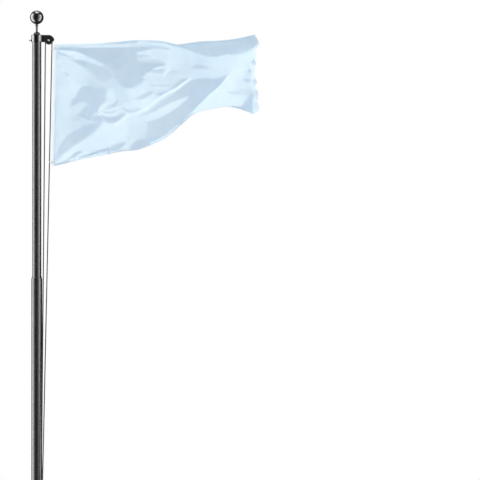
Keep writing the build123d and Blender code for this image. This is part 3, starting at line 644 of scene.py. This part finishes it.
# Section of a hem, as (share of its width from the cloth's edge, share of its half thickness)
HEM_SECTION = [(1.0, 0.35), (0.92, 0.9), (0.5, 1.0), (0.1, 1.0), (-0.04, 0.6), (-0.07, 0.0), (-0.04, -0.6),
               (0.1, -1.0), (0.5, -1.0), (0.92, -0.9), (1.0, -0.35)]


def smooth(share):
    share = np.clip(share, 0, 1)
    return share * share * (3 - 2 * share)


def run_along(line):
    """Each point's distance from the first one, measured along the line."""
    return np.concatenate([[0], np.cumsum(np.linalg.norm(np.diff(line, axis=0), axis=1))])


def curve_through(points, step):
    """Points about a step apart along a smooth curve through the given ones."""
    given = np.array(points, float)
    if len(given) == 2:
        given = np.array([given[0], (given[0] + given[1]) / 2, given[1]])
    run = run_along(given)
    at = np.linspace(0, run[-1], max(3, int(run[-1] / step) + 1))
    slopes = np.gradient(given, run, axis=0)
    i = np.clip(np.searchsorted(run, at, side="right") - 1, 0, len(run) - 2)
    gap = (run[i + 1] - run[i])[:, None]
    u = (at - run[i])[:, None] / gap
    start = (2 * u**3 - 3 * u**2 + 1) * given[i] + (u**3 - 2 * u**2 + u) * slopes[i] * gap
    return start + (3 * u**2 - 2 * u**3) * given[i + 1] + (u**3 - u**2) * slopes[i + 1] * gap


def along_edge(points, shares):
    """Places at these shares of an edge's length."""
    curve = curve_through(points, EDGE_STEP)
    run = run_along(curve)
    return np.stack([np.interp(shares * run[-1], run, curve[:, k]) for k in (0, 1)], -1)


def inside(outline, x, d):
    """Cells inside a closed outline."""
    hit = np.zeros(x.shape, bool)
    for (ax, ad), (bx, bd) in zip(outline, outline[1:] + outline[:1]):
        if ad != bd:
            crosses = (ad > d) != (bd > d)
            hit ^= crosses & (x < (bx - ax) * (d - ad) / (bd - ad) + ax)
    return hit


def distance_from(line, x, d):
    """Distance of each cell from a line of points."""
    least = np.full(x.shape, np.inf)
    for (ax, ad), (bx, bd) in zip(line, line[1:]):
        vx, vd = bx - ax, bd - ad
        share = np.clip(((x - ax) * vx + (d - ad) * vd) / (vx * vx + vd * vd), 0, 1)
        least = np.minimum(least, np.hypot(x - ax - share * vx, d - ad - share * vd))
    return least


def cloth_relief():
    """Nearness to the viewer on the square grid, integrated from the leans of patches and creases.

    Comes with a copy that keeps only the wide swells down the cloth.
    """
    left, top, right, foot = ROOM
    xs = np.arange(left, right, GRID_STEP)
    ds = np.arange(top, foot, GRID_STEP)
    x, d = np.meshgrid(xs, ds)
    waves_x, waves_d = np.meshgrid(np.fft.fftfreq(len(xs), GRID_STEP), np.fft.fftfreq(len(ds), GRID_STEP))
    waves_x, waves_d = 2 * np.pi * waves_x, 2 * np.pi * waves_d
    lean = np.zeros(x.shape)
    for slope, softness, outline in PATCHES.values():
        spread = np.exp(-(waves_x**2 + waves_d**2) * softness**2 / 2)
        share = np.fft.ifft2(np.fft.fft2(inside(outline, x, d)) * spread).real
        lean += (slope / 100 - lean) * share
    for slope, width, line in CREASES.values():
        share = np.exp(-((distance_from(line, x, d) / (CREASE_SOFTNESS * width)) ** 2))
        lean += (slope / 100 - lean) * share
    along = waves_x * AWAY_FROM_LIGHT[0] + waves_d * AWAY_FROM_LIGHT[1]
    across = waves_d * AWAY_FROM_LIGHT[0] - waves_x * AWAY_FROM_LIGHT[1]
    stiffness = along**2 + SIDEWAYS_STIFFNESS * across**2 + 1 / WIDEST_SWELL**2
    waves = -1j * along * np.fft.fft2(lean) / stiffness
    wide = np.exp(-((waves_d * SWELL_SIZE) ** 2) / 2)
    return np.fft.ifft2(waves).real, np.fft.ifft2(waves * wide).real


relief, swells = cloth_relief()


def nearness(grid, x, d):
    """Nearness at places between the cells of a grid."""
    across = (x - ROOM[0]) / GRID_STEP
    down = (d - ROOM[1]) / GRID_STEP
    i = np.clip(across.astype(int), 0, grid.shape[1] - 2)
    j = np.clip(down.astype(int), 0, grid.shape[0] - 2)
    u, v = across - i, down - j
    upper = grid[j, i] * (1 - u) + grid[j, i + 1] * u
    lower = grid[j + 1, i] * (1 - u) + grid[j + 1, i + 1] * u
    return upper * (1 - v) + lower * v


def cloth_at(s, t):
    """Points of the cloth in metres at these shares of its length and width."""
    top, foot = along_edge(TOP_EDGE, s), along_edge(FOOT_EDGE, s)
    hoist, fly = along_edge(HOIST_EDGE, t), along_edge(FLY_EDGE, t)
    s, t = s[..., None], t[..., None]
    corners = [np.array(edge[end], float) for edge in (TOP_EDGE, FOOT_EDGE) for end in (0, -1)]
    place = (1 - t) * top + t * foot + (1 - s) * hoist + s * fly
    place -= (1 - s) * (1 - t) * corners[0] + s * (1 - t) * corners[1] + (1 - s) * t * corners[2]
    place -= s * t * corners[3]
    x, d = place[..., 0], place[..., 1]
    seam_x = hoist[..., 0] + HEADING_COVER
    wanted = HOIST_NEARNESS[0] + (HOIST_NEARNESS[1] - HOIST_NEARNESS[0]) * t[..., 0]
    seam_swell = nearness(swells, seam_x, d)
    seam_crease = nearness(relief, seam_x, d) - seam_swell
    near = nearness(relief, np.maximum(x, seam_x), d)
    near += (wanted - seam_swell) * (1 - smooth((x - seam_x) / HOIST_REACH))
    near -= seam_crease * (1 - smooth((x - seam_x) / CREASE_REACH))
    return np.stack([x, -near, 1000 * truck_base - d], -1) / 1000


def surface_normals(s, t):
    """Unit normals of the cloth that point to the viewer's side."""
    little = 0.002
    along = cloth_at(np.clip(s + little, 0, 1), t) - cloth_at(np.clip(s - little, 0, 1), t)
    down = cloth_at(s, np.clip(t + little, 0, 1)) - cloth_at(s, np.clip(t - little, 0, 1))
    normal = np.cross(down, along)
    return normal / np.linalg.norm(normal, axis=-1, keepdims=True)


def grid_object(name, points, flat, closed=False, uv_name="cloth"):
    """A smooth mesh over a grid of points, with flat as its UV map."""
    rows, columns = points.shape[:2]
    index = np.arange(rows * columns).reshape(rows, columns)
    if closed:
        index = np.concatenate([index, index[:1]])
    faces = np.stack([index[1:, :-1], index[1:, 1:], index[:-1, 1:], index[:-1, :-1]], -1).reshape(-1, 4)
    mesh = bpy.data.meshes.new(name)
    mesh.from_pydata(points.reshape(-1, 3).tolist(), [], faces.tolist())
    corners = np.empty(len(mesh.loops), int)
    mesh.loops.foreach_get("vertex_index", corners)
    layer = mesh.uv_layers.new(name=uv_name)
    layer.data.foreach_set("uv", flat.reshape(-1, 2)[corners].ravel())
    mesh.polygons.foreach_set("use_smooth", [True] * len(mesh.polygons))
    piece = bpy.data.objects.new(name, mesh)
    bpy.context.scene.collection.objects.link(piece)
    return piece


def make_hem(name, edge_s, edge_t, inward_s, inward_t, paint):
    """The doubled edge of the cloth: a flat tube folded round one side."""
    normals = surface_normals(edge_s, edge_t)
    rows = []
    flat = []
    for depth, lift in HEM_SECTION:
        s = edge_s + max(depth, 0) * inward_s
        t = edge_t + max(depth, 0) * inward_t
        beyond = min(depth, 0) * (cloth_at(edge_s + inward_s, edge_t + inward_t) - cloth_at(edge_s, edge_t))
        rows.append(cloth_at(s, t) + beyond + normals * lift * HEM_HALF_THICKNESS)
        flat.append(np.stack([s * CLOTH_LENGTH, t * CLOTH_WIDTH], -1))
    hem = grid_object(name, np.array(rows), np.array(flat), closed=True)
    hem.data.materials.append(paint)
    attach(hem, "pole")


def make_flag():
    s, t = np.meshgrid(np.linspace(0, 1, CLOTH_COLUMNS), np.linspace(0, 1, CLOTH_ROWS))
    flat = np.stack([s * CLOTH_LENGTH, t * CLOTH_WIDTH], -1)
    paint = cloth_paint()
    flag = grid_object("flag", cloth_at(s, t), flat)
    flag.data.materials.append(paint)
    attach(flag, "pole")
    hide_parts("flag_cloth")
    run = np.linspace(0, 1, CLOTH_COLUMNS)
    start, end = np.zeros_like(run), np.ones_like(run)
    across_length = HEM_WIDTH / CLOTH_LENGTH
    across_width = HEM_WIDTH / CLOTH_WIDTH
    make_hem("top_hem", run, start, 0, across_width, paint)
    make_hem("foot_hem", run, end, 0, -across_width, paint)
    make_hem("fly_hem", end, run, -across_length, 0, paint)


# Halyard: a braided tube along the same endless loop as the model's rope.
# Corners of the loop before they are rounded, and the radius of the rounding, in millimetres

ROPE_CORNERS = [
    ((48.3, 0.0, 6089.2), 18.0),
    ((85.67, 0.0, 6089.2), 18.0),
    ((-10.67, -66.2, 1321.0), 11.5),
    ((10.67, -55.2, 1321.0), 11.5),
]


def rope_route():
    """Points along the loop: straight falls between rounded corners, over the sheave and under the cleat."""
    corners = [(Vector(place) / 1000, radius / 1000) for place, radius in ROPE_CORNERS]
    points = []
    for k, (corner, radius) in enumerate(corners):
        back = (corners[k - 1][0] - corner).normalized()
        ahead = (corners[(k + 1) % len(corners)][0] - corner).normalized()
        half = back.angle(ahead) / 2
        middle = (back + ahead).normalized()
        centre = corner + middle * radius / math.sin(half)
        start = corner + back * radius / math.tan(half) - centre
        end = corner + ahead * radius / math.tan(half) - centre
        turn = start.angle(end)
        for share in np.linspace(0, 1, ROPE_BEND_RINGS):
            arm = (start * math.sin((1 - share) * turn) + end * math.sin(share * turn)) / math.sin(turn)
            points.append(centre + arm)
    loop = []
    for here, there in zip(points, points[1:] + points[:1]):
        steps = max(1, round((there - here).length / ROPE_RING_STEP))
        loop += [here.lerp(there, k / steps) for k in range(steps)]
    return loop


def make_rope():
    loop = rope_route()
    shares = [side / ROPE_SIDES for side in range(ROPE_SIDES + 1)]
    rings = []
    flat = []
    run = 0.0
    # The last ring closes the loop and looks ahead only
    for k in range(len(loop) + 1):
        here = loop[k % len(loop)]
        there = loop[(k + 1) % len(loop)]
        before = loop[k - 1] if k < len(loop) else here
        ahead = (there - before).normalized()
        side = ahead.cross(Vector((0, 1, 0))).normalized()
        other = ahead.cross(side)
        ring = []
        for share in shares:
            turn = 2 * math.pi * share
            ring.append(here + (side * math.cos(turn) + other * math.sin(turn)) * ROPE_RADIUS)
        rings.append(ring)
        flat.append([(share, run) for share in shares])
        run += (there - here).length
    rope = grid_object("rope", np.array(rings), np.array(flat), uv_name="rope")
    rope.data.materials.append(rope_paint())
    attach(rope, "pole")
    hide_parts("halyard")


# Surroundings


def fade_floor(paint):
    """Lets the floor run into the white background with distance, for the camera only."""
    x, y, _ = paint.split(paint.place)
    share = paint.ramp(paint.hypotenuse(x, y), 0.0, 1.0, *FLOOR_FADE)
    seen = paint.node("ShaderNodeLightPath").outputs["Is Camera Ray"]
    white = paint.node("ShaderNodeEmission").outputs[0]
    shaders = {0: paint.math("MULTIPLY", share, seen), 1: paint.shader.outputs[0], 2: white}
    mixed = paint.node("ShaderNodeMixShader", shaders).outputs[0]
    paint.tree.links.new(mixed, paint.tree.nodes["Material Output"].inputs["Surface"])


def make_floor():
    """A pale matt floor that shows dark in mirroring surfaces."""
    mesh = bpy.data.meshes.new("floor")
    corners = [(x * FLOOR_HALF, y * FLOOR_HALF, 0) for x, y in ((-1, -1), (1, -1), (1, 1), (-1, 1))]
    mesh.from_pydata(corners, [], [(0, 1, 2, 3)])
    floor = bpy.data.objects.new("floor", mesh)
    bpy.context.scene.collection.objects.link(floor)
    paint = Paint("pale_floor", (0.78, 0.78, 0.78), 0.9)
    even = paint.mix(paint.noise(0.6), (0.77, 0.77, 0.77), (0.80, 0.80, 0.80))
    mirrored = paint.node("ShaderNodeLightPath").outputs["Is Glossy Ray"]
    paint.set("Base Color", paint.mix(mirrored, even, (0.02, 0.02, 0.02)))
    paint.set("Specular IOR Level", 0.0)
    fade_floor(paint)
    floor.data.materials.append(paint.material)


def make_world():
    """White behind the object, nearly black in mirroring surfaces, and an even cool light on the rest."""
    world = bpy.data.worlds.new("studio")
    bpy.context.scene.world = world
    world.use_nodes = True
    tree = world.node_tree
    tree.nodes.clear()
    rays = tree.nodes.new("ShaderNodeLightPath").outputs

    def background(colour, strength):
        made = tree.nodes.new("ShaderNodeBackground")
        made.inputs["Color"].default_value = (*colour, 1.0)
        made.inputs["Strength"].default_value = strength
        return made.outputs[0]

    def choose(ray, otherwise, shown):
        """Shows one background to this kind of ray and the other to the rest."""
        made = tree.nodes.new("ShaderNodeMixShader")
        for index, source in enumerate((ray, otherwise, shown)):
            tree.links.new(source, made.inputs[index])
        return made.outputs[0]

    studio = background((0.763, 0.866, 1.0), 0.69)
    mirrored = background((1.0, 1.0, 1.0), 0.02)
    white = background((1.0, 1.0, 1.0), 1.0)
    lit = choose(rays["Is Glossy Ray"], studio, mirrored)
    seen = choose(rays["Is Camera Ray"], lit, white)
    tree.links.new(seen, tree.nodes.new("ShaderNodeOutputWorld").inputs["Surface"])


def softbox(name, target, azimuth, elevation, distance, size, strength, glossy=True, diffuse=True):
    """A rectangular lamp that faces a target, with angles in degrees, lengths in metres, strength in watts.

    Azimuth 0 is the viewer's side, 90 the right-hand side.
    """
    a, e = math.radians(azimuth), math.radians(elevation)
    data = bpy.data.lights.new(name, "AREA")
    data.shape = "RECTANGLE"
    data.size, data.size_y = size
    data.energy = strength
    lamp = bpy.data.objects.new(name, data)
    away = Vector((math.sin(a) * math.cos(e), -math.cos(a) * math.cos(e), math.sin(e)))
    lamp.location = Vector(target) + away * distance
    lamp.rotation_euler = (-away).to_track_quat("-Z", "Y").to_euler()
    lamp.visible_camera = False
    lamp.visible_glossy = glossy
    lamp.visible_diffuse = diffuse
    bpy.context.scene.collection.objects.link(lamp)
    return data


def make_lamps():
    """A warm key light and back fill on the cloth, and strips that only mirroring surfaces show."""
    flag_middle = (0.65, 0.0, 5.6)
    key = softbox("key", flag_middle, -40, 42, 18.0, (6.0, 6.0), 2240, glossy=False)
    key.color = (1.0, 0.87, 0.66)
    back = softbox("back fill", flag_middle, 146, 38, 18.0, (6.0, 6.0), 900, glossy=False)
    back.color = (1.0, 0.9, 0.74)
    middle = (0.4, 0.0, 4.4)
    softbox("left strip", middle, -84, 0, 3.4, (3.4, 9.6), 640, diffuse=False)
    softbox("left core", middle, -86, 0, 3.3, (1.4, 9.0), 450, diffuse=False)
    softbox("right strip", middle, 58, 0, 3.4, (4.2, 9.6), 370, diffuse=False)
    softbox("right core", middle, 76, 0, 3.3, (2.1, 9.0), 650, diffuse=False)
    truck = (0.0, 0.0, 6.1)
    softbox("overhead", truck, 0, 91, 4.0, (2.6, 2.7), 290, diffuse=False)


make_camera()
make_world()
make_lamps()
make_floor()
finish_cad_nodes()
make_flag()
make_rope()

bpy.context.scene.view_settings.view_transform = "Standard"
